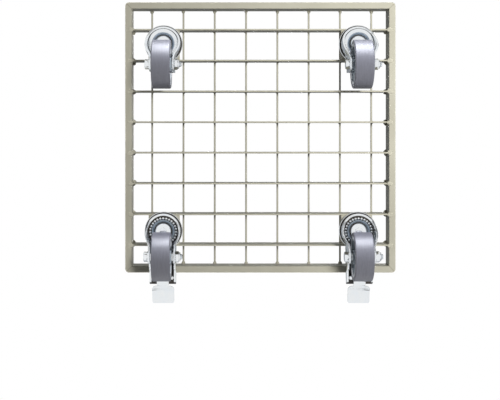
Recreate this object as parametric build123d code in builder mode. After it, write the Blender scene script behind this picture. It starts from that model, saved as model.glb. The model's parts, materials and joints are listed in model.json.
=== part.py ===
from build123d import *
from math import asin, degrees, sqrt
import os

# A low square plant caddy: a welded bar grating in a frame of rectangular tube, on four swivel
# casters. The two casters at the -X end have a foot brake. Millimetres, +Z up, floor at z = 0.
# The deck's middle stands a little towards +X, so that the origin is under the middle of the
# whole outline, pedals included. Each caster is drawn about its own swivel axis, its wheel
# trailing towards -X, and then put in its corner.

# Deck
SIDE = 288.0
DECK_TOP = 93.0
RAIL_WIDTH = 7.0
RAIL_HEIGHT = 24.0
TUBE_WALL = 1.2
TUBE_ROUNDING = 1.0
CORNER_RADIUS = 4.0
BAR_COUNT = 8
BAR_PITCH = 32.8
BAR_THICKNESS = 1.6
ROD_COUNT = 8
ROD_PITCH = 34.0
ROD_RADIUS = 1.0
ROD_OFFSET = 2.2
PLATE_LENGTH = 33.0
PLATE_THICKNESS = 3.0

# Weld beads
LAP_BEAD_RADIUS = 2.4
LAP_BEAD_HEIGHT = 0.8
LAP_BEAD_TAPER = 35.0
CORNER_BEAD_LEG = 3.2
CORNER_BEAD_HEIGHT = 4.0

# Wheel
WHEEL_RADIUS = 25.0
TYRE_HALF_WIDTH = 9.6
TYRE_SHOULDER = 1.7
CORE_RADIUS = 21.3
CORE_HALF_WIDTH = 9.3
RIM_RADIUS = 18.3
RIM_DEPTH = 1.4
HUB_RADIUS = 7.0
HUB_HALF_WIDTH = 10.1
HUB_DEPTH = 4.6
TRAIL = 23.5

# Axle
AXLE_BOLT_RADIUS = 3.0
AXLE_FLANGE_RADIUS = 5.5
AXLE_FLANGE_THICKNESS = 1.2
AXLE_HEAD_FLATS = 9.0
AXLE_HEAD_HEIGHT = 3.5
AXLE_NUT_FLATS = 10.0
AXLE_NUT_HEIGHT = 5.5
AXLE_END = 2.3
SLEEVE_RADIUS = 4.5
AXLE_PLAY = 0.05

# Swivel head, heights above the floor
CUP_TOP_RADIUS = 15.5
CUP_RADIUS = 19.0
CUP_FLANGE_RADIUS = 20.0
CUP_CONE_END = 60.3
CUP_END = 59.3
CUP_WALL = 1.3
CUP_ROOF = 1.5
RACE_WIDTH = 3.0
RACE_PLAY = 0.15
PAN_RADIUS = 12.0
PAN_FLANGE_RADIUS = 15.0
PAN_RECESS_RADIUS = 10.2
PAN_BOTTOM = 51.2
PAN_FLOOR = 53.4
NECK_RADIUS = 7.4
NECK_PLAY = 0.05
BOLT_HOLE_RADIUS = 5.3
HEAD_BOLT_RADIUS = 5.0
HEAD_BOLT_FLATS = 16.0
HEAD_BOLT_HEIGHT = 5.5
HEAD_BOLT_END = 82.5
HEAD_NUT_HEIGHT = 8.0

# Fork
SHEET = 2.0
BEND_RADIUS = 1.2
CROWN_RADIUS = 18.3
CROWN_TOP = 57.2
BOSS_RADIUS = 7.1
PLAIN_HALF_WIDTH = 12.5
PLAIN_BLEND = 14.0
BRAKE_HALF_WIDTH = 13.7
BRAKE_BLEND = 12.0
BRAKE_TAIL = 54.7
HOUSING_FLOOR = 43.5
HOUSING_ARC = 9.2

# Brake pedal
PIVOT_X = -47.5
PIVOT_Z = 46.0
PIVOT_RADIUS = 1.25
BARREL_RADIUS = 2.4
PEDAL_SHEET = 1.3
TONGUE_SHEET = 1.0
NECK_WIDTH = 12.4
BLADE_WIDTH = 23.0
BLADE_START = -56.5
BLADE_CORNER = 4.0
PEDAL_TIP = -75.5

# Sizes that follow from the ones above
DECK_BOTTOM = DECK_TOP - RAIL_HEIGHT
INNER_SIDE = SIDE - 2 * RAIL_WIDTH
BAR_X = [BAR_PITCH * (i - (BAR_COUNT - 1) / 2) for i in range(BAR_COUNT)]
ROD_Y = [ROD_PITCH * (i - (ROD_COUNT - 1) / 2) + ROD_OFFSET for i in range(ROD_COUNT)]
PLATE_WIDTH = BAR_PITCH - BAR_THICKNESS
SWIVEL_X = 3 * BAR_PITCH
SWIVEL_Y = 102.5
CROWN_FLOOR = CROWN_TOP - SHEET
DECK_X = (SWIVEL_X - PEDAL_TIP - SIDE / 2) / 2
BRAKE_CORNERS = {"front_left": (-SWIVEL_X, SWIVEL_Y), "front_right": (-SWIVEL_X, -SWIVEL_Y)}
PLAIN_CORNERS = {"rear_left": (SWIVEL_X, SWIVEL_Y), "rear_right": (SWIVEL_X, -SWIVEL_Y)}
CORNERS = {**BRAKE_CORNERS, **PLAIN_CORNERS}

# The side of a fork: its roof line from the rear to the crown, then its front edge downwards
ROOF_STEP = [(-20.5, 54.7), (-16.3, CROWN_TOP)]
FRONT_EDGE = [(CROWN_RADIUS, CROWN_TOP), (CROWN_RADIUS, 55.4), (10.5, 51.6)]
PLAIN_ROOF = [(-TRAIL - BOSS_RADIUS, 54.3), *ROOF_STEP]
PLAIN_KNEE = (-1.3, 35.7)
BRAKE_ROOF = [(-BRAKE_TAIL, 49.1), (-36.6, 53.8), *ROOF_STEP]
HOUSING_REAR = (-51.9, HOUSING_FLOOR)

# The pedal from its barrel to its tip, and its tongue from the barrel down behind the tyre
PEDAL_PATH = [(-48.0, 45.7), (-55.4, 45.9), (-61.4, 52.4), (-68.5, 54.7), (PEDAL_TIP, 55.3)]
PEDAL_BEND = 4.0
TONGUE_PATH = [(-48.0, 45.0), (-48.3, 41.7), (-47.5, 38.0), (-49.9, 33.9)]
TONGUE_BEND = 2.0

AXLE = (-TRAIL, WHEEL_RADIUS)
AXLE_AXIS = Axis((-TRAIL, 0, WHEEL_RADIUS), (0, 1, 0))
AXLE_PLANE = Plane(origin=(-TRAIL, 0, WHEEL_RADIUS), x_dir=(0, 0, 1), z_dir=(-1, 0, 0))


def across(y):
    """The plane at this y that looks towards -Y, with X to the right and Z up."""
    return Plane.XZ.offset(-y)


def touch(point, turn):
    """Where the line from a point touches the round boss at the axle: turn is 1 or -1, for its side."""
    to_axle = Vector(*AXLE) - Vector(*point)
    reach = sqrt(to_axle.length**2 - BOSS_RADIUS**2)
    lean = asin(BOSS_RADIUS / to_axle.length)
    along = to_axle.normalized().rotate(Axis.Z, turn * degrees(lean))
    spot = Vector(*point) + along * reach
    return (spot.X, spot.Y)


# The deck


def tube_ring():
    """All four rails in one, before the corners are cut."""
    with BuildPart() as ring:
        with BuildSketch(Plane.XY.offset(DECK_BOTTOM)):
            RectangleRounded(SIDE, SIDE, CORNER_RADIUS)
            Rectangle(INNER_SIDE, INNER_SIDE, mode=Mode.SUBTRACT)
        extrude(amount=RAIL_HEIGHT)
        rims = ring.faces().filter_by(Axis.Z).edges()
        fillet(rims, TUBE_ROUNDING)
        with BuildSketch(Plane.XY.offset(DECK_BOTTOM + TUBE_WALL)):
            Rectangle(SIDE - 2 * TUBE_WALL, SIDE - 2 * TUBE_WALL)
            Rectangle(INNER_SIDE + 2 * TUBE_WALL, INNER_SIDE + 2 * TUBE_WALL, mode=Mode.SUBTRACT)
        extrude(amount=RAIL_HEIGHT - 2 * TUBE_WALL, mode=Mode.SUBTRACT)
    return ring.part


def mitred_rail(ring, angle):
    """The quarter of the ring between its two diagonals, on the side at this angle from +X."""
    with BuildPart() as rail:
        add(ring)
        for turn in (angle - 45, angle + 45):
            split(bisect_by=Plane((0, 0, 0), z_dir=Vector(1, 0, 0).rotate(Axis.Z, turn)))
    return rail.part


def grid_bars():
    with BuildPart() as bars:
        with Locations(*[(x, 0, DECK_BOTTOM) for x in BAR_X]):
            Box(BAR_THICKNESS, INNER_SIDE, RAIL_HEIGHT, align=(Align.CENTER, Align.CENTER, Align.MIN))
        with Locations(*[(0, y, DECK_TOP - ROD_RADIUS) for y in ROD_Y]):
            Box(SIDE, 2 * ROD_RADIUS, 2 * ROD_RADIUS, mode=Mode.SUBTRACT)
    return bars.part


def cross_rods():
    with BuildPart() as rods:
        with BuildSketch(Plane.YZ.offset(-INNER_SIDE / 2)):
            with Locations(*[(y, DECK_TOP - ROD_RADIUS) for y in ROD_Y]):
                Circle(ROD_RADIUS)
        extrude(amount=INNER_SIDE)
    return rods.part


def weld_beads():
    """A lap bead under each end of each bar, and a fillet bead on both its sides in the upper corner."""
    with BuildPart() as beads:
        with BuildSketch(Plane.XY.offset(DECK_BOTTOM)):
            with Locations(*[(x, side * (INNER_SIDE / 2 + 1)) for x in BAR_X for side in (-1, 1)]):
                RegularPolygon(LAP_BEAD_RADIUS, 8, rotation=22.5)
        extrude(amount=-LAP_BEAD_HEIGHT, taper=LAP_BEAD_TAPER)
        with BuildSketch(Plane.XY.offset(DECK_TOP - CORNER_BEAD_HEIGHT - 2 * ROD_RADIUS)):
            for x in BAR_X:
                for along in (-1, 1):
                    for side in (-1, 1):
                        face = x + along * BAR_THICKNESS / 2
                        wall = side * INNER_SIDE / 2
                        tip = (face + along * CORNER_BEAD_LEG, wall)
                        toe = (face, wall - side * CORNER_BEAD_LEG)
                        Polygon((face, wall), tip, toe, align=None)
        extrude(amount=CORNER_BEAD_HEIGHT)
    return beads.part


def mounting_plate():
    with BuildPart() as plate:
        with BuildSketch(Plane.XY.offset(DECK_BOTTOM)):
            Rectangle(PLATE_WIDTH, PLATE_LENGTH)
            Circle(BOLT_HOLE_RADIUS, mode=Mode.SUBTRACT)
        extrude(amount=PLATE_THICKNESS)
    return plate.part


# The swivel head


def turned(points):
    """A body turned about the swivel axis from its section's (radius, height) points."""
    with BuildPart() as body:
        with BuildSketch(Plane.XZ):
            Polygon(*points, align=None)
        revolve(axis=Axis.Z)
    return body.part


def bearing_cup():
    """A pressed cup, open below: flat roof, conical wall and a short flange."""
    inner = CUP_RADIUS - CUP_WALL
    outside = [
        (BOLT_HOLE_RADIUS, DECK_BOTTOM),
        (CUP_TOP_RADIUS, DECK_BOTTOM),
        (CUP_RADIUS, CUP_CONE_END),
        (CUP_FLANGE_RADIUS, CUP_CONE_END),
        (CUP_FLANGE_RADIUS, CUP_END),
    ]
    inside = [
        (inner, CUP_END),
        (inner, CUP_CONE_END),
        (CUP_TOP_RADIUS - CUP_WALL, DECK_BOTTOM - CUP_ROOF),
        (BOLT_HOLE_RADIUS, DECK_BOTTOM - CUP_ROOF),
    ]
    return turned(outside + inside)


def upper_race():
    """The row of balls between the cup's flange and the crown, as one ring."""
    outer = CUP_RADIUS - CUP_WALL
    low = CROWN_TOP + RACE_PLAY
    return turned([(outer - RACE_WIDTH, low), (outer, low), (outer, CUP_CONE_END), (outer - RACE_WIDTH, CUP_CONE_END)])


def lower_race():
    """The row of balls under the crown, around the pan, as one ring."""
    high = CROWN_FLOOR - RACE_PLAY
    low = high - RACE_WIDTH
    outer = PAN_RADIUS + RACE_WIDTH
    return turned([(PAN_RADIUS, low), (outer, low), (outer, high), (PAN_RADIUS, high)])


def bearing_pan(flanged):
    """The hollow neck that the fork turns on, with the pan that carries the crown and hides the bolt head."""
    high = CROWN_FLOOR - RACE_PLAY
    race_low = high - RACE_WIDTH
    flange = [(PAN_RADIUS, race_low), (PAN_FLANGE_RADIUS, race_low), (PAN_FLANGE_RADIUS, race_low - 0.7)]
    return turned(
        [
            (BOLT_HOLE_RADIUS, DECK_BOTTOM - CUP_ROOF),
            (NECK_RADIUS, DECK_BOTTOM - CUP_ROOF),
            (NECK_RADIUS, high),
            (PAN_RADIUS, high),
            *(flange if flanged else [(PAN_RADIUS, race_low)]),
            (PAN_RECESS_RADIUS + 0.8, PAN_BOTTOM - 0.6),
            (PAN_RECESS_RADIUS, PAN_BOTTOM - 0.6),
            (PAN_RECESS_RADIUS, PAN_FLOOR),
            (BOLT_HOLE_RADIUS, PAN_FLOOR),
        ]
    )


def head_bolt():
    with BuildPart() as bolt:
        with BuildSketch(Plane.XY.offset(PAN_FLOOR)):
            RegularPolygon(HEAD_BOLT_FLATS / 2, 6, major_radius=False)
        extrude(amount=-HEAD_BOLT_HEIGHT)
        with BuildSketch(Plane.XY.offset(PAN_FLOOR)):
            Circle(HEAD_BOLT_RADIUS)
        extrude(amount=HEAD_BOLT_END - PAN_FLOOR)
    return bolt.part


def head_nut():
    with BuildPart() as nut:
        with BuildSketch(Plane.XY.offset(DECK_BOTTOM + PLATE_THICKNESS)):
            RegularPolygon(HEAD_BOLT_FLATS / 2, 6, major_radius=False)
            Circle(HEAD_BOLT_RADIUS, mode=Mode.SUBTRACT)
        extrude(amount=HEAD_NUT_HEIGHT)
    return nut.part


# The forks


def keyhole(radius, half_width, tail, blend):
    """The plan of a pressed fork: the round crown, blended into two parallel sides."""
    with BuildSketch() as plan:
        Circle(radius)
        with Locations((-tail / 2, 0)):
            Rectangle(tail, 2 * half_width)
        fillet(plan.vertices().group_by(Axis.X)[1], blend)
    return plan.sketch


def plain_side():
    """The plain fork from the side: upright behind, slanting up to the crown in front."""
    rear = -TRAIL - BOSS_RADIUS
    low_front = touch(PLAIN_KNEE, 1)
    with BuildSketch(Plane.XZ) as side:
        with BuildLine():
            Polyline((rear, WHEEL_RADIUS), *PLAIN_ROOF, *FRONT_EDGE, PLAIN_KNEE, low_front)
            ThreePointArc(low_front, (-TRAIL, WHEEL_RADIUS - BOSS_RADIUS), (rear, WHEEL_RADIUS))
        make_face()
    return side.sketch


def brake_side():
    """The brake fork from the side: a housing for the pedal reaches back over the wheel."""
    rear = -TRAIL - BOSS_RADIUS
    low_front = touch(FRONT_EDGE[-1], 1)
    arc_low = (rear, HOUSING_FLOOR - HOUSING_ARC)
    arc_high = (rear - HOUSING_ARC, HOUSING_FLOOR)
    with BuildSketch(Plane.XZ) as side:
        with BuildLine():
            Line((rear, WHEEL_RADIUS), arc_low)
            RadiusArc(arc_low, arc_high, HOUSING_ARC)
            Polyline(arc_high, HOUSING_REAR, *BRAKE_ROOF, *FRONT_EDGE, low_front)
            ThreePointArc(low_front, (-TRAIL, WHEEL_RADIUS - BOSS_RADIUS), (rear, WHEEL_RADIUS))
        make_face()
    return side.sketch


def fork(side, roof, half_width, tail, blend):
    """Sheet pressed to a keyhole plan, open below and behind, and cut to its outline from the side."""
    ceiling = [(x, z - SHEET) for x, z in roof]
    reach = 2 * tail
    with BuildPart() as hollow:
        with BuildSketch():
            add(keyhole(CROWN_RADIUS - SHEET, half_width - SHEET, reach, blend + SHEET))
        extrude(amount=CROWN_TOP)
        with BuildSketch(Plane.XZ):
            Polygon((-reach, 0), (-reach, ceiling[0][1]), *ceiling, (reach, CROWN_FLOOR), (reach, 0), align=None)
        extrude(amount=CROWN_RADIUS, both=True, mode=Mode.INTERSECT)
    with BuildPart() as body:
        with BuildSketch():
            add(keyhole(CROWN_RADIUS, half_width, tail, blend))
        extrude(amount=CROWN_TOP)
        fillet(body.faces().sort_by(Axis.Z)[-1].edges(), BEND_RADIUS)
        with BuildSketch(Plane.XZ):
            add(side)
        extrude(amount=CROWN_RADIUS, both=True, mode=Mode.INTERSECT)
        add(hollow.part, mode=Mode.SUBTRACT)
        with BuildSketch():
            Circle(NECK_RADIUS + NECK_PLAY)
        extrude(amount=CROWN_TOP, mode=Mode.SUBTRACT)
        with BuildSketch(Plane.XZ):
            with Locations(AXLE):
                Circle(AXLE_BOLT_RADIUS)
        extrude(amount=CROWN_RADIUS, both=True, mode=Mode.SUBTRACT)
    return body.part


def brake_fork():
    with BuildPart() as body:
        add(fork(brake_side(), BRAKE_ROOF, BRAKE_HALF_WIDTH, BRAKE_TAIL, BRAKE_BLEND))
        with BuildSketch(Plane.XZ):
            with Locations((PIVOT_X, PIVOT_Z)):
                Circle(PIVOT_RADIUS)
        extrude(amount=CROWN_RADIUS, both=True, mode=Mode.SUBTRACT)
    return body.part


def plain_fork():
    return fork(plain_side(), PLAIN_ROOF, PLAIN_HALF_WIDTH, TRAIL + BOSS_RADIUS, PLAIN_BLEND)


# What runs on the axle


def axle_bolt(half_width):
    """Flanged hexagonal bolt through the fork, its head on the -Y side."""
    with BuildPart() as bolt:
        with BuildSketch(across(-half_width)):
            with Locations(AXLE):
                Circle(AXLE_FLANGE_RADIUS)
        extrude(amount=AXLE_FLANGE_THICKNESS)
        with BuildSketch(across(-half_width - AXLE_FLANGE_THICKNESS)):
            with Locations(AXLE):
                RegularPolygon(AXLE_HEAD_FLATS / 2, 6, major_radius=False)
        extrude(amount=AXLE_HEAD_HEIGHT)
        with BuildSketch(across(-half_width)):
            with Locations(AXLE):
                Circle(AXLE_BOLT_RADIUS)
        extrude(amount=-(2 * half_width + AXLE_NUT_HEIGHT + AXLE_END))
    return bolt.part


def axle_nut(half_width):
    with BuildPart() as nut:
        with BuildSketch(across(half_width)):
            with Locations(AXLE):
                RegularPolygon(AXLE_NUT_FLATS / 2, 6, major_radius=False)
                Circle(AXLE_BOLT_RADIUS, mode=Mode.SUBTRACT)
        extrude(amount=-AXLE_NUT_HEIGHT)
    return nut.part


def axle_sleeve(half_width):
    """The tube that the bolt clamps between the fork's sides, so that the wheel stays free."""
    with BuildPart() as sleeve:
        with BuildSketch(Plane.XZ):
            with Locations(AXLE):
                Circle(SLEEVE_RADIUS)
                Circle(AXLE_BOLT_RADIUS + AXLE_PLAY, mode=Mode.SUBTRACT)
        extrude(amount=half_width - SHEET, both=True)
    return sleeve.part


def wheel_core():
    """Moulded core: hub, dished web and the rim that carries the tyre."""
    bore = SLEEVE_RADIUS + AXLE_PLAY
    rim_floor = CORE_HALF_WIDTH - RIM_DEPTH
    web = HUB_HALF_WIDTH - HUB_DEPTH
    near_side = [
        (bore, HUB_HALF_WIDTH),
        (HUB_RADIUS, HUB_HALF_WIDTH),
        (HUB_RADIUS, web),
        (RIM_RADIUS, rim_floor),
        (RIM_RADIUS, CORE_HALF_WIDTH),
        (CORE_RADIUS, CORE_HALF_WIDTH),
    ]
    far_side = [(radius, -along) for radius, along in reversed(near_side)]
    with BuildPart() as core:
        with BuildSketch(AXLE_PLANE):
            Polygon(*near_side, *far_side, align=None)
        revolve(axis=AXLE_AXIS)
    return core.part


def tyre():
    """Soft tread with bevelled shoulders, moulded on the core."""
    shoulder = WHEEL_RADIUS - TYRE_SHOULDER
    tread = TYRE_HALF_WIDTH - TYRE_SHOULDER
    near_side = [(CORE_RADIUS, TYRE_HALF_WIDTH), (shoulder, TYRE_HALF_WIDTH), (WHEEL_RADIUS, tread)]
    far_side = [(radius, -along) for radius, along in reversed(near_side)]
    with BuildPart() as body:
        with BuildSketch(AXLE_PLANE):
            Polygon(*near_side, *far_side, align=None)
        revolve(axis=AXLE_AXIS)
    return body.part


# The brake


def brake_pedal():
    """One bent sheet: a broad blade behind, a narrow neck, a barrel for the pin and a tongue down."""
    neck_start = PIVOT_X + BARREL_RADIUS
    with BuildPart() as pedal:
        with BuildSketch(Plane.XZ):
            with BuildLine():
                FilletPolyline(*PEDAL_PATH, radius=PEDAL_BEND)
            trace(line_width=PEDAL_SHEET)
            with BuildLine():
                FilletPolyline(*TONGUE_PATH, radius=TONGUE_BEND)
            trace(line_width=TONGUE_SHEET)
        extrude(amount=BLADE_WIDTH / 2, both=True)
        with BuildSketch():
            with Locations(((BLADE_START + neck_start) / 2, 0)):
                Rectangle(neck_start - BLADE_START, NECK_WIDTH)
            blade_length = BLADE_START - PEDAL_TIP + PEDAL_SHEET
            with Locations((BLADE_START - blade_length / 2, 0)):
                RectangleRounded(blade_length, BLADE_WIDTH, BLADE_CORNER)
        extrude(amount=CROWN_TOP + BLADE_CORNER, mode=Mode.INTERSECT)
        with BuildSketch(Plane.XZ):
            with Locations((PIVOT_X, PIVOT_Z)):
                Circle(BARREL_RADIUS)
        extrude(amount=BLADE_WIDTH / 2 - SHEET / 2, both=True)
        with BuildSketch(Plane.XZ):
            with Locations((PIVOT_X, PIVOT_Z)):
                Circle(PIVOT_RADIUS + NECK_PLAY)
        extrude(amount=BLADE_WIDTH, both=True, mode=Mode.SUBTRACT)
    return pedal.part


def pivot_pin():
    """Pressed into the housing's side walls, its ends flush."""
    with BuildPart() as pin:
        with BuildSketch(Plane.XZ):
            with Locations((PIVOT_X, PIVOT_Z)):
                Circle(PIVOT_RADIUS)
        extrude(amount=BRAKE_HALF_WIDTH, both=True)
    return pin.part


# Writing the pieces


def save(shape, name, places=((0, 0),)):
    """Put a shape at each place, seen from the middle of the deck, and write it as one named piece."""
    with BuildPart() as piece:
        with Locations(*[(DECK_X + x, y, 0) for x, y in places]):
            add(shape)
    piece.part.label = name
    export_step(piece.part, f"parts/{name}.step")


os.makedirs("parts", exist_ok=True)

ring = tube_ring()
for rail, angle in (("rear_rail", 0), ("left_rail", 90), ("front_rail", 180), ("right_rail", 270)):
    save(mitred_rail(ring, angle), rail)
save(grid_bars(), "grid_bars")
save(cross_rods(), "cross_rods")
save(weld_beads(), "weld_beads")
save(mounting_plate(), "mounting_plates", CORNERS.values())

save(bearing_cup(), "bearing_cups", CORNERS.values())
save(upper_race(), "upper_ball_races", CORNERS.values())
save(lower_race(), "lower_ball_races", CORNERS.values())
save(bearing_pan(flanged=True), "plain_bearing_pans", PLAIN_CORNERS.values())
save(bearing_pan(flanged=False), "brake_bearing_pans", BRAKE_CORNERS.values())
save(head_bolt(), "head_bolts", CORNERS.values())
save(head_nut(), "head_nuts", CORNERS.values())

for corner, place in CORNERS.items():
    braked = corner in BRAKE_CORNERS
    half_width = BRAKE_HALF_WIDTH if braked else PLAIN_HALF_WIDTH
    save(brake_fork() if braked else plain_fork(), f"{corner}_fork", [place])
    save(axle_sleeve(half_width), f"{corner}_axle_sleeve", [place])
    save(axle_bolt(half_width), f"{corner}_axle_bolt", [place])
    save(axle_nut(half_width), f"{corner}_axle_nut", [place])
    save(wheel_core(), f"{corner}_wheel_core", [place])
    save(tyre(), f"{corner}_tyre", [place])
    if braked:
        save(brake_pedal(), f"{corner}_brake_pedal", [place])
        save(pivot_pin(), f"{corner}_pivot_pin", [place])
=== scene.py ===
# %% [markdown]
# # Plant caddy
# A low steel deck on four swivel casters, seen from below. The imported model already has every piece
# at its real size and place. This script gives the pieces their finish, and replaces the plain ones
# with pieces that have the rounded edges, threads, balls and weld beads of the real thing.

# %% Load the frame
import json
import math
import random
import bmesh
import bpy
from mathutils import Matrix, Vector, noise


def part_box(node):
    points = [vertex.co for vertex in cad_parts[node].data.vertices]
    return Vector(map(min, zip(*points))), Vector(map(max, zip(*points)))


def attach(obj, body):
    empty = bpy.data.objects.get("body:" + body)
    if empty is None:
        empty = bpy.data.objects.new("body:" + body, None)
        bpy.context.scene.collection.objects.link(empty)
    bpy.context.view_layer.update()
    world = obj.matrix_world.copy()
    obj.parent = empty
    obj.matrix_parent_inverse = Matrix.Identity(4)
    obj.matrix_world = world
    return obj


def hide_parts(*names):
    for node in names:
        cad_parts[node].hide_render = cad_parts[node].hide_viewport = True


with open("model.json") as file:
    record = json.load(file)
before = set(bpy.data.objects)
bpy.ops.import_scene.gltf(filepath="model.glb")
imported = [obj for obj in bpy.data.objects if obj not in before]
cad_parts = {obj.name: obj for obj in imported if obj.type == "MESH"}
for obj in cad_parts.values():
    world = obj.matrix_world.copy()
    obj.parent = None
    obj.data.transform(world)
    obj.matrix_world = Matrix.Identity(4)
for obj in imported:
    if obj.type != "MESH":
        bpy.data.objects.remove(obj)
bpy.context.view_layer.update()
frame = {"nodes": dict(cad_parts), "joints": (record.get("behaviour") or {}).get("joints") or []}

MM = 0.001
nodes = frame["nodes"]

# %% [markdown]
# The joints say where the casters are: each swivel axis stands in a corner of the deck, and each
# wheel turns about an axle that trails behind it. The two casters with a foot brake are those that
# have a pedal joint. These places could be typed in as numbers. Read from the frame, they stay right
# if the model changes.

# %% Where the casters are
joint_at = {joint["name"]: Vector(joint["pos_m"]) for joint in frame["joints"]}
corners = [name.removesuffix("_swivel") for name in joint_at if name.endswith("_swivel")]
braked = [corner for corner in corners if f"{corner}_brake" in joint_at]
plain = [corner for corner in corners if corner not in braked]
deck_low, deck_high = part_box("left_rail")
rail_bottom, deck_top = deck_low.z, deck_high.z
deck_middle = Vector(((deck_low.x + deck_high.x) / 2, 0, rail_bottom))
print("braked:", braked, "plain:", plain, "deck's middle:", deck_middle)

# %% [markdown]
# ## Camera
# The photograph's larger view looks straight up at the underside, from 1.1 m below it, with the
# brake casters at the bottom. The caddy isn't in the middle of the picture. The camera could be
# turned towards it, but then the deck's sides would lean. So it looks straight up and its lens is
# shifted, as a view camera's is, and the sides stay parallel to the picture's.

# %% Camera
CAMERA_DEPTH = 1.1
CAMERA_OFFSET = Vector((0.0026, -0.0377, 0))
FOCAL_LENGTH = 74.4
PRINCIPAL_POINT = (225, 135)
PICTURE = (500, 400)

lens = bpy.data.cameras.new("camera")
lens.lens = FOCAL_LENGTH
lens.sensor_width = 36
lens.shift_x = (PICTURE[0] / 2 - PRINCIPAL_POINT[0]) / PICTURE[0]
lens.shift_y = (PRINCIPAL_POINT[1] - PICTURE[1] / 2) / PICTURE[0]
camera = bpy.data.objects.new("camera", lens)
camera.location = deck_middle + CAMERA_OFFSET - Vector((0, 0, CAMERA_DEPTH))
camera.rotation_euler = Matrix(((0, 1, 0), (1, 0, 0), (0, 0, -1))).to_euler()
bpy.context.scene.collection.objects.link(camera)
bpy.context.scene.camera = camera
print("camera at", camera.location, "shift", lens.shift_x, lens.shift_y)

# %% [markdown]
# ## Nodes and colours
# A node tree takes many lines of the same kind: make a node, set its properties, fill its inputs,
# draw its links. One small function does all four, so that a material reads like its node graph from
# left to right. Colours are written as they look on a screen, in hex, and one function turns them
# into the linear values that the renderer works with.


# %% Node and colour helpers
def add(tree, kind, inputs=None, **settings):
    """Adds a node, sets its properties, and fills its inputs with values or other outputs."""
    node = tree.nodes.new("ShaderNode" + kind)
    for name, value in settings.items():
        setattr(node, name, value)
    for name, value in (inputs or {}).items():
        if isinstance(value, bpy.types.NodeSocket):
            tree.links.new(value, node.inputs[name])
        else:
            node.inputs[name].default_value = value
    return node


def colour(code):
    """A linear RGBA colour from an sRGB hex code such as #a9a697."""
    parts = [int(code[i : i + 2], 16) / 255 for i in (1, 3, 5)]
    return (*[c / 12.92 if c <= 0.04045 else ((c + 0.055) / 1.055) ** 2.4 for c in parts], 1)


def new_material(name):
    """An empty material and its node tree, with an output node to end in."""
    material = bpy.data.materials.new(name)
    material.use_nodes = True
    material.node_tree.nodes.clear()
    return material, material.node_tree


print("#808080 in linear values:", [round(part, 3) for part in colour("#808080")])

# %% [markdown]
# ## Floor
# The caddy stands on a pale floor that takes its shadow. The photograph is taken from under that
# floor. It could be left out, but then the other views would have no shadow. So only a camera above
# the floor sees it: every other ray, and the light of the lower lamps, goes through. Part of it glows
# a little, so that it stays pale far from the lamps.

# %% Floor
FLOOR_SIZE = 8.0
GLOW_SHARE = 0.6

floor_mesh = bmesh.new()
bmesh.ops.create_grid(floor_mesh, x_segments=8, y_segments=8, size=FLOOR_SIZE / 2)
floor = bpy.data.objects.new("floor", bpy.data.meshes.new("floor"))
floor_mesh.to_mesh(floor.data)
floor_mesh.free()
bpy.context.scene.collection.objects.link(floor)

white_floor, tree = new_material("floor_white_matt")
rays = add(tree, "LightPath")
facing = add(tree, "NewGeometry")
matt = add(tree, "BsdfDiffuse", {"Color": colour("#f4f4f4")})
glow = add(tree, "Emission", {"Color": (1, 1, 1, 1), "Strength": 1.0})
lit = add(tree, "MixShader", {0: GLOW_SHARE, 1: matt.outputs[0], 2: glow.outputs[0]})
from_above = add(
    tree,
    "Math",
    {0: rays.outputs["Is Camera Ray"], 1: facing.outputs["Backfacing"]},
    operation="SUBTRACT",
    use_clamp=True,
)
clear = add(tree, "BsdfTransparent")
surface = add(tree, "MixShader", {0: from_above.outputs[0], 1: clear.outputs[0], 2: lit.outputs[0]})
add(tree, "OutputMaterial", {"Surface": surface.outputs[0]})
floor.data.materials.append(white_floor)
print("floor", FLOOR_SIZE, "m wide, glowing by", GLOW_SHARE)

# %% [markdown]
# ## Surroundings
# The photograph's background is white. A white world does that, but it also lights the object from
# every side, and flattens it. So the world is white where the camera or a reflection sees it, and dim
# as a source of light, and the lamps shape the object.

# %% World
AMBIENT = 0.04

world = bpy.data.worlds.new("white_surroundings")
bpy.context.scene.world = world
world.use_nodes = True
tree = world.node_tree
tree.nodes.clear()
rays = add(tree, "LightPath")
looked_at = add(
    tree,
    "Math",
    {0: rays.outputs["Is Camera Ray"], 1: rays.outputs["Is Glossy Ray"]},
    operation="MAXIMUM",
)
visible = add(
    tree,
    "Math",
    {0: looked_at.outputs[0], 1: rays.outputs["Is Transmission Ray"]},
    operation="MAXIMUM",
)
dim = add(tree, "Background", {"Color": (1, 1, 1, 1), "Strength": AMBIENT})
white = add(tree, "Background", {"Color": (1, 1, 1, 1), "Strength": 1.0})
sky = add(tree, "MixShader", {0: visible.outputs[0], 1: dim.outputs[0], 2: white.outputs[0]})
add(tree, "OutputWorld", {"Surface": sky.outputs[0]})
bpy.context.scene.view_settings.view_transform = "Standard"
print("ambient light", AMBIENT)

# %% [markdown]
# ## Lamps
# The photograph's underside is lit almost straight from below: the faces that look down are pale and
# every wall is nearly black. The light is a little stronger on the right. So the key lamp stands
# under that side, with a honeycomb grid that narrows its beam. A sun lamp could do it too, but it is
# even from side to side. A softbox above lights the deck, and four low strips light the sides without
# reaching into the frame. Metal doesn't mirror these lamps, because their bright rectangles would
# burn out on it.


# %% Lamps
STRIP_PLACES = {
    "side_right": (0, -1.5),
    "side_left": (0, 1.5),
    "end_front": (-1.5, 0),
    "end_rear": (1.5, 0),
}
STRIP_HEIGHT = 0.083


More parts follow.
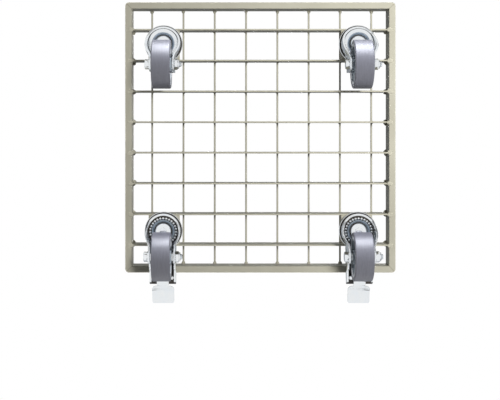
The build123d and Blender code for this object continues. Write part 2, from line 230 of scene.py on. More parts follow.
def softbox(name, place, target, width, height, power, beam=180):
    """A rectangular area lamp that points at target and throws a beam this many degrees wide."""
    light = bpy.data.lights.new(name, "AREA")
    light.shape = "RECTANGLE"
    light.size = width
    light.size_y = height
    light.energy = power
    light.spread = math.radians(beam)
    lamp = bpy.data.objects.new(name, light)
    lamp.location = Vector(place)
    lamp.rotation_euler = (Vector(target) - lamp.location).to_track_quat("-Z", "Y").to_euler()
    lamp.visible_glossy = False
    bpy.context.scene.collection.objects.link(lamp)
    print(name, "at", tuple(place), power, "W")
    return lamp


softbox("under_key", (0.2, 0.3, -1.1), (0.15, 0.28, 0), 0.15, 0.25, 4.8, beam=80)
softbox("overhead", (0.15, 0.2, 1.5), deck_middle, 0.6, 0.6, 24)
for name, place in STRIP_PLACES.items():
    level_with = Vector((deck_middle.x, 0, STRIP_HEIGHT))
    softbox(name, (*place, STRIP_HEIGHT), level_with, 1.2, 0.05, 1.7, beam=40)

# %% [markdown]
# Polished metal shows what stands round it. In a studio that is all white it would look like paper.
# The metal could be made darker, but it is pale where it faces the camera. So, as photographers do,
# dark cards stand at the studio's corners and a grey one hangs over the caddy. They draw the dark
# lines along the edges of the pressings. Only reflections see them.

# %% Cards
CARD_DISTANCE = 1.7
CARD_WIDTH = 1.8
CARD_HEIGHT = 0.8


def card_paint(name, code):
    """A paint that shows one even colour, however the card is lit."""
    material, tree = new_material(name)
    paint = add(tree, "Emission", {"Color": colour(code), "Strength": 1.0})
    add(tree, "OutputMaterial", {"Surface": paint.outputs[0]})
    return material


dark_grey = card_paint("card_dark_grey", "#3a4047")
middle_grey = card_paint("card_middle_grey", "#9ea3a9")


def card(name, place, width, height, paint):
    """A flat card that faces the middle of the deck and that only reflections see."""
    bm = bmesh.new()
    turn = (deck_middle - Vector(place)).to_track_quat("Z", "Y").to_matrix().to_4x4()
    bmesh.ops.create_grid(bm, x_segments=1, y_segments=1, size=0.5)
    bmesh.ops.scale(bm, vec=(width, height, 1), verts=bm.verts[:])
    bmesh.ops.transform(bm, matrix=Matrix.Translation(place) @ turn, verts=bm.verts[:])
    mesh = bpy.data.meshes.new(name)
    bm.to_mesh(mesh)
    bm.free()
    mesh.materials.append(paint)
    obj = bpy.data.objects.new(name, mesh)
    bpy.context.scene.collection.objects.link(obj)
    for ray in ("camera", "diffuse", "transmission", "volume_scatter", "shadow"):
        setattr(obj, f"visible_{ray}", False)


for number, turn in enumerate((45, 135, 225, 315)):
    direction = Matrix.Rotation(math.radians(turn), 3, "Z") @ Vector((CARD_DISTANCE, 0, 0))
    card(f"card_{number}", direction, CARD_WIDTH, CARD_HEIGHT, dark_grey)
card("card_above", (0, 0, 1.2), 3.2, 3.2, middle_grey)
print("4 corner cards", CARD_WIDTH, "x", CARD_HEIGHT, "m, and one above")

# %% [markdown]
# ## Powder coat
# The deck is mild steel with a taupe polyester powder coat, baked on. The powder melts into a tough
# satin skin with a faint orange peel, about a millimetre from bump to bump, which is drawn twice as
# coarse so that it shows. Its colour clouds a little where the coat is thinner. On the rails the
# mitred corners show: the welds were ground flush, and a fine line remains under the coat. A groove
# could be cut into the mesh, but a line this fine would need very thin faces. So the material draws
# it, where the distances from the deck's middle along x and y are equal.

# %% Powder coat
PEEL_SIZE = 2.2 * MM
CLOUD_SIZE = 45 * MM
SEAM_WIDTH = 0.5 * MM
THIN_COAT, FULL_COAT, SEAM_COLOUR = "#a09d8e", "#a9a697", "#6f6a58"


def powder_coat(name, mitred):
    """Satin powder coat. A mitred one also shows the joints of the frame's corners."""
    material, tree = new_material(name)
    place = add(tree, "TexCoord").outputs["Object"]
    clouds = add(tree, "TexNoise", {"Vector": place, "Scale": 1 / CLOUD_SIZE, "Detail": 3.0})
    peel = add(tree, "TexNoise", {"Vector": place, "Scale": 1 / PEEL_SIZE, "Detail": 1.0})
    tones = add(tree, "ValToRGB", {"Fac": clouds.outputs["Fac"]})
    tones.color_ramp.elements[0].position = 0.35
    tones.color_ramp.elements[0].color = colour(THIN_COAT)
    tones.color_ramp.elements[1].position = 0.65
    tones.color_ramp.elements[1].color = colour(FULL_COAT)
    base, height = tones.outputs["Color"], peel.outputs["Fac"]
    if mitred:
        centre = add(tree, "VectorMath", {0: place, 1: deck_middle}, operation="SUBTRACT")
        across = add(tree, "VectorMath", {0: centre.outputs[0]}, operation="ABSOLUTE")
        parts = add(tree, "SeparateXYZ", {0: across.outputs[0]})
        gap = add(tree, "Math", {0: parts.outputs[0], 1: parts.outputs[1]}, operation="SUBTRACT")
        off = add(tree, "Math", {0: gap.outputs[0]}, operation="ABSOLUTE")
        seam = add(tree, "MapRange", {"Value": off.outputs[0], 1: 0.0, 2: SEAM_WIDTH, 3: 1.0, 4: 0.0})
        base = add(
            tree,
            "Mix",
            {0: seam.outputs[0], 6: base, 7: colour(SEAM_COLOUR)},
            data_type="RGBA",
        ).outputs[2]
        groove = add(tree, "Math", {0: seam.outputs[0], 1: -3.0, 2: height}, operation="MULTIPLY_ADD")
        height = groove.outputs[0]
    bump = add(tree, "Bump", {"Height": height, "Strength": 0.25, "Distance": 0.06 * MM})
    shader = add(
        tree,
        "BsdfPrincipled",
        {"Base Color": base, "Roughness": 0.45, "Normal": bump.outputs[0]},
    )
    add(tree, "OutputMaterial", {"Surface": shader.outputs[0]})
    return material


coat = powder_coat("powder_coat_satin_taupe", mitred=False)
rail_coat = powder_coat("powder_coat_over_mitres", mitred=True)
print("powder coat: orange peel", PEEL_SIZE / MM, "mm, seam", SEAM_WIDTH / MM, "mm")

# %% [markdown]
# ## Bright zinc
# The casters are pressed and turned steel, electroplated with zinc and passivated blue. That gives a
# bright metal, a little cloudy and rougher where the sheet was rolled, with a faint blue tint. Metal of
# one roughness looks like plastic foil. So clouds move the roughness, and a fine grain breaks up the
# reflections. The same function makes the smoother fasteners, the darker and bluer zinc that paints shade
# into the pans' recesses, and the ground steel of the balls, which has hardly any grain.

# %% Bright zinc
ZINC_CLOUD = 7 * MM
ZINC_GRAIN = 0.7 * MM


def plated(name, tint, clear_colour, roughness, grain):
    """Bright metal: tint and clear_colour are the colours of its clouds, roughness its range."""
    material, tree = new_material(name)
    place = add(tree, "TexCoord").outputs["Object"]
    clouds = add(tree, "TexNoise", {"Vector": place, "Scale": 1 / ZINC_CLOUD, "Detail": 4.0})
    fine = add(tree, "TexNoise", {"Vector": place, "Scale": 1 / ZINC_GRAIN, "Detail": 2.0})
    tones = add(
        tree,
        "Mix",
        {0: clouds.outputs["Fac"], 6: colour(tint), 7: colour(clear_colour)},
        data_type="RGBA",
    )
    rough = add(
        tree,
        "MapRange",
        {"Value": clouds.outputs["Fac"], 1: 0.3, 2: 0.7, 3: roughness[0], 4: roughness[1]},
    )
    bump = add(tree, "Bump", {"Height": fine.outputs["Fac"], "Strength": grain, "Distance": 0.02 * MM})
    shader = add(
        tree,
        "BsdfPrincipled",
        {
            "Base Color": tones.outputs[2],
            "Metallic": 1.0,
            "Roughness": rough.outputs[0],
            "Normal": bump.outputs[0],
        },
    )
    add(tree, "OutputMaterial", {"Surface": shader.outputs[0]})
    return material


zinc = plated("bright_zinc_on_sheet", "#e0e6ec", "#ecedec", (0.16, 0.26), 0.2)
bolt_zinc = plated("bright_zinc_on_fasteners", "#e0e5ea", "#eeefef", (0.12, 0.2), 0.1)
# Painted shade: a darker, bluer zinc for the pans' recesses.
recess_shade_zinc = plated("zinc_with_painted_recess_shade", "#a9b8c6", "#ccd5dd", (0.28, 0.38), 0.2)
ball_steel = plated("ground_ball_steel", "#dfe2e4", "#ecedee", (0.2, 0.3), 0.05)
print("zinc: clouds", ZINC_CLOUD / MM, "mm, grain", ZINC_GRAIN / MM, "mm")

# %% [markdown]
# The dark brown film inside the cups, on the pans' floors and under the forks is painted shade, drawn as
# old grease that has turned dark. It is a soft, glossy film that hides the metal, so it needs no metal
# under it: a dark dielectric with smears of two dark browns and a soft bump is enough.

# %% Painted shade, drawn as grease
SHADE_SMEAR_SIZE = 2.5 * MM


def make_painted_shade_film():
    """Painted shade in dark brown, drawn as old grease smeared by the balls."""
    material, tree = new_material("painted_shade_dark_brown")
    place = add(tree, "TexCoord").outputs["Object"]
    smears = add(tree, "TexNoise", {"Vector": place, "Scale": 1 / SHADE_SMEAR_SIZE, "Detail": 3.0})
    tones = add(
        tree,
        "Mix",
        {0: smears.outputs["Fac"], 6: colour("#141312"), 7: colour("#332d25")},
        data_type="RGBA",
    )
    bump = add(tree, "Bump", {"Height": smears.outputs["Fac"], "Strength": 0.6, "Distance": 0.2 * MM})
    shader = add(
        tree,
        "BsdfPrincipled",
        {"Base Color": tones.outputs[2], "Roughness": 0.35, "Normal": bump.outputs[0]},
    )
    add(tree, "OutputMaterial", {"Surface": shader.outputs[0]})
    return material


# Painted shade: this dark brown film stands for the shade inside the cups, on the pans' floors and under
# the forks.
painted_shade_film = make_painted_shade_film()
print("grease: smears", SHADE_SMEAR_SIZE / MM, "mm")

# %% [markdown]
# ## Wheel plastics
# The wheel's core is injection moulded polypropylene, blue grey and slightly waxy, with a paler ring
# where it holds the tyre. The tyre is a thermoplastic rubber moulded on the core, grey with a purple
# cast, and its tread shows fine marks round the wheel from the mould. A picture of the tread could be
# wrapped round it. But the marks run straight round the wheel, so noise that is stretched in every
# direction except along the axle gives them, with nothing to wrap.

# %% Wheel plastics
MOULD_SPECKLE = 1.6 * MM
TREAD_BAND = 0.9 * MM


def moulded(name, code, dark_code, roughness, speckle, strength, gloss=0.5, stretch=(1, 1, 1)):
    """Moulded plastic: speckle is the size of its texture, which stretch can pull into bands."""
    material, tree = new_material(name)
    place = add(tree, "TexCoord").outputs["Object"]
    pulled = add(tree, "Mapping", {"Vector": place, "Scale": stretch})
    marks = add(
        tree,
        "TexNoise",
        {"Vector": pulled.outputs[0], "Scale": 1 / speckle, "Detail": 3.0, "Roughness": 0.6},
    )
    tones = add(
        tree,
        "Mix",
        {0: marks.outputs["Fac"], 6: colour(dark_code), 7: colour(code)},
        data_type="RGBA",
    )
    bump = add(tree, "Bump", {"Height": marks.outputs["Fac"], "Strength": strength, "Distance": 0.05 * MM})
    shader = add(
        tree,
        "BsdfPrincipled",
        {"Base Color": tones.outputs[2], "Roughness": roughness, "Normal": bump.outputs[0]},
    )
    shader.inputs["Specular IOR Level"].default_value = gloss
    add(tree, "OutputMaterial", {"Surface": shader.outputs[0]})
    return material


core_plastic = moulded("polypropylene_blue_grey", "#929ba4", "#868f98", 0.38, MOULD_SPECKLE, 0.2)
ring_plastic = moulded("polypropylene_pale_ring", "#d3d6db", "#c6cad0", 0.35, MOULD_SPECKLE, 0.15)
tyre_rubber = moulded(
    "rubber_purple_grey",
    "#5f6069",
    "#414147",
    0.42,
    TREAD_BAND,
    0.4,
    gloss=0.9,
    stretch=(0.1, 1, 0.1),
)
print("tread bands", TREAD_BAND / MM, "mm apart")

# %% [markdown]
# ## Making the pieces
# Most of a caster's parts were turned, pressed round or cold headed. They could be built from
# cylinders and cones, but their corners would be sharp and their walls solid. So most meshes here are
# a section spun about an axis, or a stack of rings. A spun section has its corners rounded first,
# each by its own radius, because a bend in pressed sheet is rounder than a machined edge.


# %% Turned sections
def turned(section, steps=64):
    """Spins a section of (radius, height, rounding) points, in mm, about Z.

    A section that starts on the axis also ends there. Any other is a closed loop.
    """
    bm = bmesh.new()
    points = [bm.verts.new((radius * MM, 0, height * MM)) for radius, height, _ in section]
    loop = points if section[0][0] == 0 else points + points[:1]
    for pair in zip(loop, loop[1:]):
        bm.edges.new(pair)
    for point, (_, _, rounding) in zip(points, section):
        if rounding:
            bmesh.ops.bevel(
                bm,
                geom=[point],
                offset=rounding * MM,
                offset_type="OFFSET",
                segments=4,
                profile=0.5,
                affect="VERTICES",
                material=-1,
            )
    bmesh.ops.spin(
        bm,
        geom=bm.verts[:] + bm.edges[:],
        cent=(0, 0, 0),
        axis=(0, 0, 1),
        angle=math.tau,
        steps=steps,
        use_merge=True,
    )
    bmesh.ops.remove_doubles(bm, verts=bm.verts[:], dist=0.002 * MM)
    bmesh.ops.recalc_face_normals(bm, faces=bm.faces[:])
    return bm


# %% [markdown]
# Every finished piece is smooth shaded, with its crisp edges kept, and rides on the body that carries
# it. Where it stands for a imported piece, that piece is hidden. A shape that the object has at each
# caster is made once and copied to the four places.


def piece(name, bm, body, materials, stands_for=(), crisp=30):
    """Makes an object of a mesh, gives it its materials and lets it ride on its body."""
    mesh = bpy.data.meshes.new(name)
    bm.to_mesh(mesh)
    bm.free()
    mesh.shade_smooth()
    mesh.set_sharp_from_angle(angle=math.radians(crisp))
    for material in materials:
        mesh.materials.append(material)
    obj = bpy.data.objects.new(name, mesh)
    bpy.context.scene.collection.objects.link(obj)
    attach(obj, body)
    if stands_for:
        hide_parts(*stands_for)
    print(name, len(mesh.polygons), "faces on", body)
    return obj


def copies(bm, places):
    """One mesh that holds the shape at each of these places."""
    mesh = bpy.data.meshes.new("shape")
    bm.to_mesh(mesh)
    bm.free()
    together = bmesh.new()
    for place in places:
        before = len(together.verts)
        together.from_mesh(mesh)
        together.verts.ensure_lookup_table()
        bmesh.ops.translate(together, vec=place, verts=together.verts[before:])
    bpy.data.meshes.remove(mesh)
    return together


def swivel(corner):
    """The swivel axis of a corner, at floor level."""
    at = joint_at[f"{corner}_swivel"]
    return Vector((at.x, at.y, 0))


def onto_axle(bm, corner):
    """Turns a shape that was made about Z to lie along the axle of a corner."""
    axle = Matrix.Translation(joint_at[f"{corner}_wheel_spin"])
    lying = axle @ Matrix.Rotation(-math.pi / 2, 4, "X")
    bmesh.ops.transform(bm, matrix=lying, verts=bm.verts[:])
    return bm


# %% [markdown]
# ## Swivel heads
# Each cup is pressed from 1.3 mm sheet: a flat roof under the deck, a conical wall and a short flange. Its
# section runs once round the sheet, outside and inside. The shade inside the cup is painted: the faces
# that look inwards get the dark brown painted shade as a second material.

# %% Bearing cups
BOLT_HOLE = 5.3
CUP_INSIDE = 19.5
CUP_ROOF_INSIDE = 68.5

cup = turned(
    [
        (BOLT_HOLE, 69.0, 0),
        (15.5, 69.0, 1.8),
        (19.0, 60.3, 0.6),
        (20.0, 60.3, 0.3),
        (20.0, 59.3, 0.3),
        (CUP_INSIDE, 59.3, 0),
        (17.7, 59.3, 0.4),
        (17.7, 60.6, 0.4),
        (14.3, 67.5, 1.0),
        (BOLT_HOLE, 67.5, 0),
    ]
)
# Painted shade: the faces that look into the cup get the dark brown shade as their second material.
for face in cup.faces:
    middle = face.calc_center_median() / MM
    looks_in = face.normal.z < -0.3 or face.normal.dot(Vector((middle.x, middle.y, 0))) < 0
    if looks_in and math.hypot(middle.x, middle.y) < CUP_INSIDE and middle.z < CUP_ROOF_INSIDE:
        face.material_index = 1
everywhere = [swivel(corner) for corner in corners]
cups = copies(cup, everywhere)
piece("bearing_cup_pressings", cups, "deck", [zinc, painted_shade_film], ["bearing_cups"])

# %% [markdown]
# The pan below carries the fork: its neck reaches up to the roof of the cup, and its rim reaches under the
# fork's crown. On the plain casters the rim has a flange that covers the lower balls. The recess has a
# darker, bluer zinc of its own, which is painted shade, and a ring of dark brown painted shade lies round
# the head of the bolt. One section serves for both kinds, with another rim.


# %% Bearing pans
RECESS_RADIUS = 12.1
RECESS_FLOOR_RADIUS = 9.7


def pan(rim):
    """A pan with this rim. Its recess gets a darker, bluer zinc and its floor a ring of dark brown, both
    painted shade.
    """
    bm = turned(
        [
            (BOLT_HOLE, 67.5, 0),
            (7.4, 67.5, 0.3),
            (7.4, 55.05, 0.4),
            (12.0, 55.05, 0.8),
            *rim,
            (11.6, 50.6, 0.7),
            (9.6, 53.4, 0.4),
            (BOLT_HOLE, 53.4, 0),
        ]
    )
    # Painted shade: the recess gets the darker, bluer zinc, and its floor the dark brown.
    for face in bm.faces:
        middle = face.calc_center_median() / MM
        radius = math.hypot(middle.x, middle.y)
        if radius < RECESS_RADIUS:
            on_floor = face.normal.z < -0.9 and radius < RECESS_FLOOR_RADIUS
            face.material_index = 2 if on_floor else 1
    return bm


plain_flange = [(12.0, 52.05, 0.4), (15.6, 52.05, 0.2), (15.6, 51.35, 0.3), (12.0, 51.2, 0)]
bare_rim = [(12.0, 51.4, 0.3)]
pan_materials = [zinc, recess_shade_zinc, painted_shade_film]
plain_pans = copies(pan(plain_flange), [swivel(corner) for corner in plain])
brake_pans = copies(pan(bare_rim), [swivel(corner) for corner in braked])
piece("plain_pan_turnings", plain_pans, "deck", pan_materials, ["plain_bearing_pans"])
piece("brake_pan_turnings", brake_pans, "deck", pan_materials, ["brake_bearing_pans"])

# %% [markdown]
# The two races of each head are rows of 3 mm steel balls. A UV sphere would spend its faces on the
# poles. Each ball is small in the picture and there are over two hundred, so an icosphere of 80 faces
# does for one. Its faces meet at shallow angles, so smooth shading hides them.

# %% Balls
BALL_RADIUS = 1.5
BALL_SPACING = 2.05 * BALL_RADIUS


def ball_row(radius, height):
    """A full row of balls about Z, with the last gap shared out."""
    count = int(math.tau * radius / BALL_SPACING)
    bm = bmesh.new()
    for number in range(count):
        turn = Matrix.Rotation(math.tau * number / count, 4, "Z")
        place = turn @ Matrix.Translation((radius * MM, 0, height * MM))
        bmesh.ops.create_icosphere(bm, subdivisions=2, radius=BALL_RADIUS * MM, matrix=place)
    print("row of", count, "balls")
    return bm


upper_rows = copies(ball_row(16.2, 58.85), everywhere)
lower_rows = copies(ball_row(13.5, 53.55), everywhere)
piece("upper_ball_rows", upper_rows, "deck", [ball_steel], ["upper_ball_races"], crisp=60)
piece("lower_ball_rows", lower_rows, "deck", [ball_steel], ["lower_ball_races"], crisp=60)

# %% [markdown]
# ## Bolts and nuts
# Bolts are cold headed and their threads rolled. A hexagon could be a cylinder with six sides, but it
# would lack the chamfer that catches the light. So a head or nut is a stack of rings from one circle:
# each ring is extruded from the last and moved onto a circle or a hexagon. The turned-down corners
# of a real hexagon come from a 30 degree cone, so a point of the hexagon drops with its distance
# from the cone's circle.


# %% Stacked rings
RING_POINTS = 48
CONE = math.tan(math.radians(30))


def round_ring(radius, height):
    """A circle."""
    return lambda turn: (radius, height)


def hex_ring(flats, height, cone=0):
    """A hexagon. With cone 1 its corners lean up as they near the circle, with -1 down."""

    def point(turn):
        reach = flats / 2 / math.cos(turn % (math.pi / 3) - math.pi / 6)
        return reach, height + cone * CONE * (reach - 0.95 * flats / 2)

    return point


def stacked(rings, hollow=False):
    """A skin over rings. A hollow one also joins the last ring to the first."""
    bm = bmesh.new()
    bmesh.ops.create_circle(bm, cap_ends=False, radius=1, segments=RING_POINTS)
    verts, first = bm.verts[:], bm.edges[:]
    edges = first
    for number, ring in enumerate(rings):
        if number:
            grown = bmesh.ops.extrude_edge_only(bm, edges=edges)["geom"]
            verts = [item for item in grown if isinstance(item, bmesh.types.BMVert)]
            fresh = set(verts)
            edges = [edge for edge in bm.edges if fresh.issuperset(edge.verts)]
        for vert in verts:
            turn = math.atan2(vert.co.y, vert.co.x)
            radius, height = ring(turn)
            vert.co = (radius * MM * math.cos(turn), radius * MM * math.sin(turn), height * MM)
    if hollow:
        bmesh.ops.bridge_loops(bm, edges=first + edges)
    else:
        bmesh.ops.holes_fill(bm, edges=first + edges, sides=RING_POINTS)
    bmesh.ops.recalc_face_normals(bm, faces=bm.faces[:])
    return bm


def soften(bm, radius, angle=25, segments=2):
    """Rounds every edge that turns by more than this angle."""
    edges = [e for e in bm.edges if e.is_manifold and e.calc_face_angle() > math.radians(angle)]
    bmesh.ops.bevel(
        bm,
        geom=edges,
        offset=radius * MM,
        offset_type="OFFSET",
        segments=segments,
        profile=0.5,
        affect="EDGES",
        material=-1,
        clamp_overlap=True,
    )
    return bm


# %% [markdown]
# A thread could be a texture of stripes, but its edge shows against the white. A ridge that is spun
# upwards is a true screw line. It is sunk into the bolt, so it needs no joining to it.


# %% Threads
def add_thread(bm, radius, pitch, low, high):
    """Winds a rolled thread round a bolt from low to high: a ridge on a screw line, sunk into it."""
    depth = 0.6 * pitch
    section = [(radius - depth, 0), (radius, pitch / 2), (radius - depth, pitch)]
    ridge = bmesh.new()
    points = [ridge.verts.new((r * MM, 0, (low + z) * MM)) for r, z in section]
    for pair in zip(points, points[1:] + points[:1]):
        ridge.edges.new(pair)
    turns = (high - low) / pitch - 1
    steps = round(turns * RING_POINTS / 2)
    bmesh.ops.spin(
        ridge,
        geom=ridge.verts[:] + ridge.edges[:],
        cent=(0, 0, 0),
        axis=(0, 0, 1),
        dvec=(0, 0, turns * pitch * MM / steps),
        angle=turns * math.tau,
        steps=steps,
        use_merge=False,
    )
    ends = [edge for edge in ridge.edges if edge.is_boundary]
    bmesh.ops.holes_fill(ridge, edges=ends, sides=3)
    bmesh.ops.recalc_face_normals(ridge, faces=ridge.faces[:])
    mesh = bpy.data.meshes.new("ridge")
    ridge.to_mesh(mesh)
    ridge.free()
    bm.from_mesh(mesh)
    bpy.data.meshes.remove(mesh)


# %% [markdown]
# The head of each head bolt sits in the pan's recess: a round washer face with a low hexagon on it.
# Its threaded end stands above the deck's plate and carries a nut.

# %% Head bolts and nuts
head_bolt = stacked(
    [
        round_ring(3.4, 47.9),
        hex_ring(7.4, 47.9, cone=1),
        hex_ring(7.4, 50.9),
        round_ring(7.4, 51.3),
        round_ring(8.3, 52.0),
        round_ring(8.3, 53.4),
        round_ring(5.0, 53.4),
        round_ring(5.0, 71.0),
        round_ring(4.1, 71.6),
        round_ring(4.1, 81.9),
        round_ring(3.6, 82.5),
    ]
)
soften(head_bolt, 0.25)
add_thread(head_bolt, 5.0, 1.5, 71.3, 82.1)
piece("head_bolts_rolled", copies(head_bolt, everywhere), "deck", [bolt_zinc], ["head_bolts"])

head_nut = stacked(
    [
        round_ring(5.0, 72.0),
        round_ring(7.6, 72.0),
        hex_ring(16, 72.0, cone=1),
        hex_ring(16, 80.0, cone=-1),
        round_ring(7.6, 80.0),
        round_ring(5.5, 80.0),
        round_ring(5.0, 79.4),
    ],
    hollow=True,
)
soften(head_nut, 0.2)
piece("head_nuts_chamfered", copies(head_nut, everywhere), "deck", [bolt_zinc], ["head_nuts"])

# %% [markdown]
# The axle bolt has a flanged head on the fork's right side. Its nut on the left is a lock nut: a
# low round collar above the hexagon holds the nylon ring. The brake casters' forks are wider, so both
# are made from the fork's half width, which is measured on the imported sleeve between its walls.


# %% Axle bolts
def axle_bolt(half_width):
    """An M6 bolt with a flanged head, from one side of the fork to past the other."""
    flange = -half_width - 1.2
    bm = stacked(
        [
            round_ring(4.2, flange - 3.5),
            hex_ring(9, flange - 3.5, cone=1),
            hex_ring(9, flange),
            round_ring(5.0, flange),
            round_ring(5.5, flange + 0.5),
            round_ring(5.5, -half_width),
            round_ring(3.0, -half_width),
            round_ring(3.0, half_width),
            round_ring(2.4, half_width + 0.5),
            round_ring(2.4, half_width + 7.3),
            round_ring(2.0, half_width + 7.8),
        ]
    )
    soften(bm, 0.15)
    add_thread(bm, 3.0, 1.0, half_width + 0.2, half_width + 7.6)
    return bm


# %% Axle nuts
def axle_nut(half_width):
    """A lock nut against the fork's far wall."""
    return soften(
        stacked(
            [
                round_ring(3.0, half_width),
                round_ring(4.75, half_width),
                hex_ring(10, half_width, cone=1),
                hex_ring(10, half_width + 4.2, cone=-1),
                round_ring(4.6, half_width + 4.2),
                round_ring(4.5, half_width + 5.2),
                round_ring(4.2, half_width + 5.5),
                round_ring(3.3, half_width + 5.5),
                round_ring(3.0, half_width + 5.2),
            ],
            hollow=True,
        ),
        0.12,
    )


# %% Axle bolts and nuts in their places
SHEET = 2.0


def half_width_of(corner):
    """Half the width of a corner's fork, in mm: the sleeve fills it between its walls."""
    low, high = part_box(f"{corner}_axle_sleeve")
    return (high.y - low.y) / 2 / MM + SHEET


for corner in corners:
    half_width = half_width_of(corner)
    fork_body = f"{corner}_fork"
    bolt = onto_axle(axle_bolt(half_width), corner)
    nut = onto_axle(axle_nut(half_width), corner)
    piece(f"{corner}_axle_bolt_rolled", bolt, fork_body, [bolt_zinc], [f"{corner}_axle_bolt"])
    piece(f"{corner}_axle_lock_nut", nut, fork_body, [bolt_zinc], [f"{corner}_axle_nut"])

# %% [markdown]
# ## Wheels
# The core is moulded in one with its hub. Its face steps down inside the rim and runs in a shallow
# cone to the hub. The tyre has rounded shoulders. Half a section could be spun and then mirrored, but
# that leaves a seam in the middle of the tread. So the section itself is mirrored first.


# %% Wheels
RING_INNER_RADIUS = 18.0
RING_DEPTH = 8.2


def mirrored(half):
    """A closed section from its near half, mirrored to the other side of the wheel."""
    return half + [(radius, -along, rounding) for radius, along, rounding in reversed(half)]


def wheel_core():
    """The core, with the paler ring that holds the tyre as its second material."""
    bm = turned(
        mirrored(
            [
                (4.55, 10.1, 0.2),
                (7.0, 10.1, 0.6),
                (7.0, 5.5, 1.0),
                (18.3, 7.9, 0.5),
                (18.3, 9.3, 0.35),
                (21.3, 9.3, 0.2),
            ]
        ),
        steps=96,
    )
    for face in bm.faces:
        middle = face.calc_center_median() / MM
        if math.hypot(middle.x, middle.y) > RING_INNER_RADIUS and abs(middle.z) > RING_DEPTH:
            face.material_index = 1
    return bm


def tyre():
    """The tyre, whose shoulders are rounded."""
    return turned(mirrored([(21.3, 9.6, 0), (24.1, 9.6, 0.3), (25.0, 8.8, 0.5)]), steps=96)


tyres = bpy.data.collections.new("tyres")
for corner in corners:
    body = f"{corner}_wheel"
    core = onto_axle(wheel_core(), corner)
    rubber = onto_axle(tyre(), corner)
    stands_for = [f"{corner}_wheel_core"]
    piece(f"{corner}_wheel_moulding", core, body, [core_plastic, ring_plastic], stands_for)
    stands_for = [f"{corner}_tyre"]
    tyres.objects.link(piece(f"{corner}_tyre_moulding", rubber, body, [tyre_rubber], stands_for))

# %% [markdown]
# The photograph's tyres have a pale band across the side that faces the end of the plain casters. It
# could be painted on, but it would turn with the wheel. So a low lamp beyond that end draws it. Light
# linking keeps that lamp off everything but the tyres, because its reflection would burn out on the
# zinc.

# %% Lamp for the tyres
tyre_lamp = softbox("tyre_band", (1.1, 0.1, -0.16), deck_middle, 0.9, 0.9, 32)
tyre_lamp.data.color = colour("#f2f5ff")[:3]
tyre_lamp.visible_glossy = True
tyre_lamp.light_linking.receiver_collection = tyres

# %% [markdown]
# ## Pressed sheet
# The forks, pedals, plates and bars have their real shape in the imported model, with sharp cut
# edges. They could be modelled again, but nothing would be gained. So a copy of that mesh is merged,
# its flat areas are joined into single faces, and its sharp edges are rounded, as tumbling, plating or
# paint rounds them.


# %% Softened copies
def softened(node, radius, angle=25, segments=2):
    """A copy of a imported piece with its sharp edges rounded."""
    bm = bmesh.new()
    bm.from_mesh(nodes[node].data)
    bmesh.ops.remove_doubles(bm, verts=bm.verts[:], dist=0.002 * MM)
    bmesh.ops.dissolve_limit(
        bm,
        angle_limit=math.radians(0.5),
        use_dissolve_boundaries=False,
        verts=bm.verts[:],
        edges=bm.edges[:],
    )
    soften(bm, radius, angle, segments)
    return bm


# %% [markdown]
# The shade under the forks' crowns, and on the roof behind the crown over the wheel, is painted in dark
# brown, drawn as old grease. On the roof it is a second material. On the crown it is a ring of its own,
# because the crown's underside is one flat face that can't have two colours.

# %% Painted shade on the forks
CROWN_BACK = -16.0
ROOF_HEIGHT = 44.0
BRAKED_SHADE_RADIUS, PLAIN_SHADE_RADIUS = 16.2, 17.1


def paint_roof_shade(bm, corner):
    """Paints shade in dark brown onto the underside of a fork's roof behind the crown, over the wheel."""
    middle = swivel(corner)
    inside = half_width_of(corner) - SHEET
    for face in bm.faces:
        away = (face.calc_center_median() - middle) / MM
        over_wheel = away.x < CROWN_BACK and abs(away.y) < inside and away.z > ROOF_HEIGHT
        # Painted shade: these roof faces get the dark brown as their second material.
        if face.normal.z < -0.3 and over_wheel:
            face.material_index = 1


def painted_crown_shade_ring(radius):
    """A ring of dark brown painted shade under the crown, out to this radius."""
    low, high = 55.08, 55.25
    section = [(11.8, high, 0), (radius, high, 0), (radius, low, 0.05), (11.8, low, 0)]
    return turned(section, steps=48)


# %% Forks, pedals, bars and plates
for corner in corners:
    fork_body = f"{corner}_fork"
    bm = softened(f"{corner}_fork", 0.3, angle=35)
    paint_roof_shade(bm, corner)
    piece(f"{corner}_fork_pressing", bm, fork_body, [zinc, painted_shade_film], [f"{corner}_fork"])
    # Painted shade: a dark brown ring under each crown.
    ring = copies(painted_crown_shade_ring(BRAKED_SHADE_RADIUS if corner in braked else PLAIN_SHADE_RADIUS), [swivel(corner)])
    piece(f"{corner}_crown_painted_shade", ring, fork_body, [painted_shade_film])
for corner in braked:
    bm = softened(f"{corner}_brake_pedal", 0.2)
    piece(f"{corner}_pedal_pressing", bm, f"{corner}_brake_pedal", [zinc], [f"{corner}_brake_pedal"])
piece("grid_bars_coated", softened("grid_bars", 0.25), "deck", [coat], ["grid_bars"])
piece("mounting_plates_coated", softened("mounting_plates", 0.3), "deck", [coat], ["mounting_plates"])

# %% [markdown]
# ## Welds
# The deck is welded by hand, and then coated. Each weld is a lump, a little different from the next.
# A bead laps over each bar's end below, a fillet fills its upper corners, and a small spot holds
# each rod where it ends and where it crosses a bar. One lump could be copied to every place, but the
# eye sees the repeat. So each is an icosphere pulled out of round by its own noise and then
# flattened. Its back half sinks into the steel. The draws are seeded, so every run is the same.

# %% Weld lumps
LUMPINESS = 0.3
draw = random.Random(7)


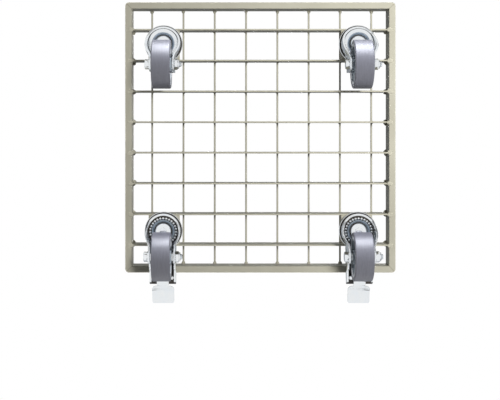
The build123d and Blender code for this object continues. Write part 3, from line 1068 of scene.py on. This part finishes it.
def lump(bm, place, reach, fineness):
    """Adds a weld lump that reaches so many mm along x, y and z from its place."""
    ball = bmesh.ops.create_icosphere(bm, subdivisions=fineness, radius=MM)["verts"]
    drift = Vector([draw.uniform(0, 50) for _ in range(3)])
    for vert in ball:
        vert.co *= 1 + LUMPINESS * noise.noise(1.1 * vert.co / MM + drift)
    size = [part * draw.uniform(0.9, 1.1) for part in reach]
    bmesh.ops.scale(bm, vec=size, verts=ball)
    bmesh.ops.translate(bm, vec=place, verts=ball)


# %% Where the bars and rods meet
BARS = RODS = 8
BAR_PITCH = 32.8 * MM
ROD_PITCH = 34.0 * MM
INNER_WALL = 137 * MM


def row(middle, pitch, count):
    """Places at an even pitch about a middle."""
    return [middle + pitch * (number - (count - 1) / 2) for number in range(count)]


rod_low, rod_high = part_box("cross_rods")
bar_places = row(deck_middle.x, BAR_PITCH, BARS)
rod_places = row((rod_low.y + rod_high.y) / 2, ROD_PITCH, RODS)
print("bars from", bar_places[0], "to", bar_places[-1], "rods from", rod_places[0], "to", rod_places[-1])

# %% Welds
FILLET_HEIGHT = deck_top - 4 * MM
ROD_HEIGHT = deck_top - 1.9 * MM
BESIDE = 0.9 * MM

welds = bmesh.new()
for along in bar_places:
    for side in (-1, 1):
        lump(welds, (along, side * (INNER_WALL + BESIDE), rail_bottom), (2.5, 3.0, 1.0), 3)
        lump(welds, (along, side * INNER_WALL, FILLET_HEIGHT), (3.4, 3.1, 2.3), 3)
for across in rod_places:
    for side in (-1, 1):
        lump(welds, (deck_middle.x + side * INNER_WALL, across, ROD_HEIGHT), (2.9, 2.0, 1.4), 2)
    for along in bar_places:
        beside = across + draw.choice((-1, 1)) * BESIDE
        lump(welds, (along, beside, ROD_HEIGHT), (1.5, 1.2, 1.2), 2)
print("welds:", len(welds.verts), "points")
piece("weld_beads_laid", welds, "deck", [coat], ["weld_beads"], crisp=80)

# %% [markdown]
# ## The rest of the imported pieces
# The rails, rods, sleeves and pins have their real shape already, with corners that are round or
# hidden. They could be copied as the forks were, but a new material in their slots is enough.

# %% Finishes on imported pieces
rails = [name for name in nodes if name.endswith("_rail")]
finish_of = {name: rail_coat for name in rails}
finish_of["cross_rods"] = coat
finish_of.update({name: bolt_zinc for name in nodes if name.endswith(("_sleeve", "_pin"))})
for name, finish in finish_of.items():
    nodes[name].data.materials.clear()
    nodes[name].data.materials.append(finish)
print("finished in place:", sorted(finish_of))
